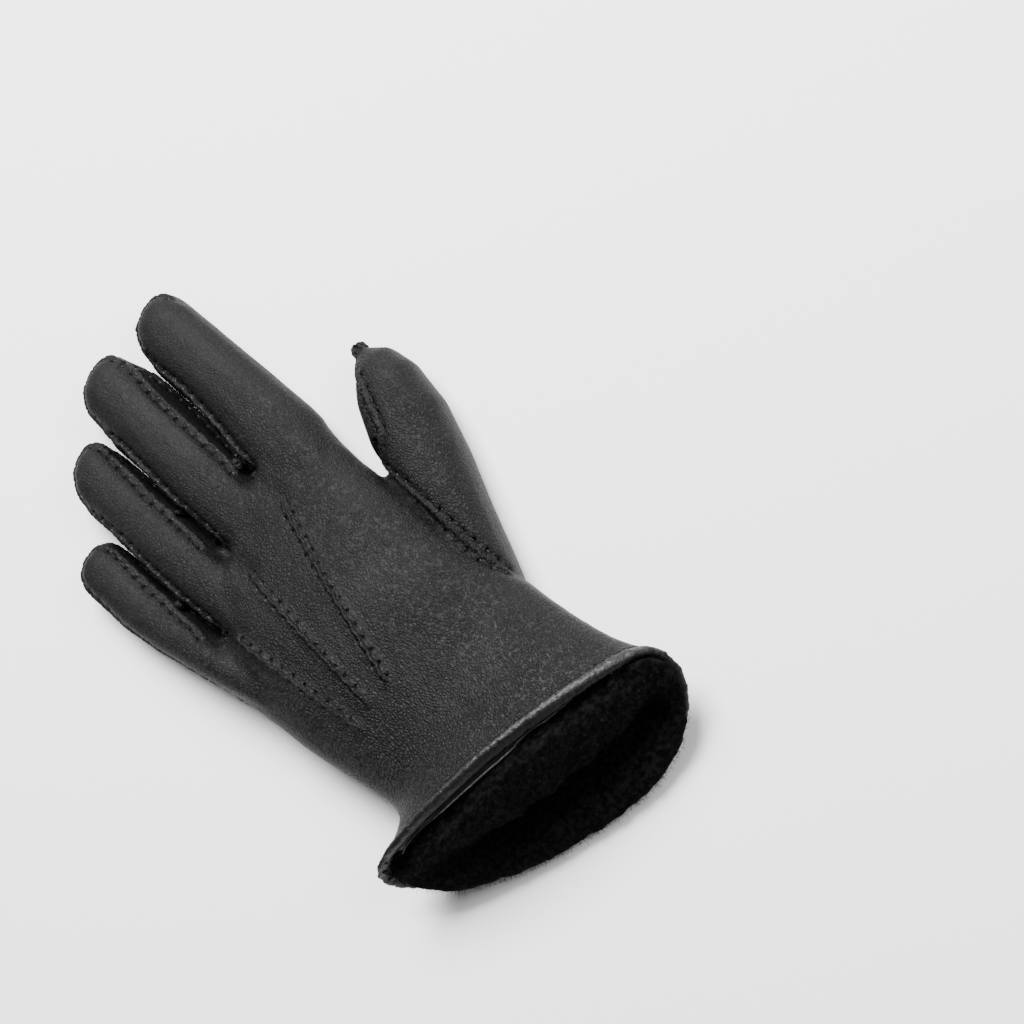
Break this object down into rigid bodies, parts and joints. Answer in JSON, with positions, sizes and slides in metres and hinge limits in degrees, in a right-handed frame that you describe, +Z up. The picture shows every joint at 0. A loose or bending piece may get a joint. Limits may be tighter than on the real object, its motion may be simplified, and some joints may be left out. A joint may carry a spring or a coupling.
{
  "type": "left-hand sheepskin dress glove",
  "caption": "Left sheepskin dress glove lying palm down, with sewn side strips, raised seams and points, a bound cuff and wool at its mouth.",
  "frame": {"origin": "middle of the glove's footprint box, on the surface it lies on", "axes": "+Y from the cuff to the fingertips, +X to the thumb side, +Z up from the surface through the back of the hand"},
  "size_m": [0.1698, 0.31, 0.0474],
  "materials": {
    "nappa_leather": "matte black nappa with fine pebbled grain",
    "binding_leather": "satin black thin leather, creased",
    "wool": "dense black clipped wool pile"
  },
  "bodies": {
    "root": {"trank": "nappa_leather", "thumb": "nappa_leather", "fourchette_index_middle": "nappa_leather", "fourchette_middle_ring": "nappa_leather", "fourchette_ring_little": "nappa_leather", "cuff_binding": "binding_leather", "wool_lining": "wool"}
  },
  "joints": []
}
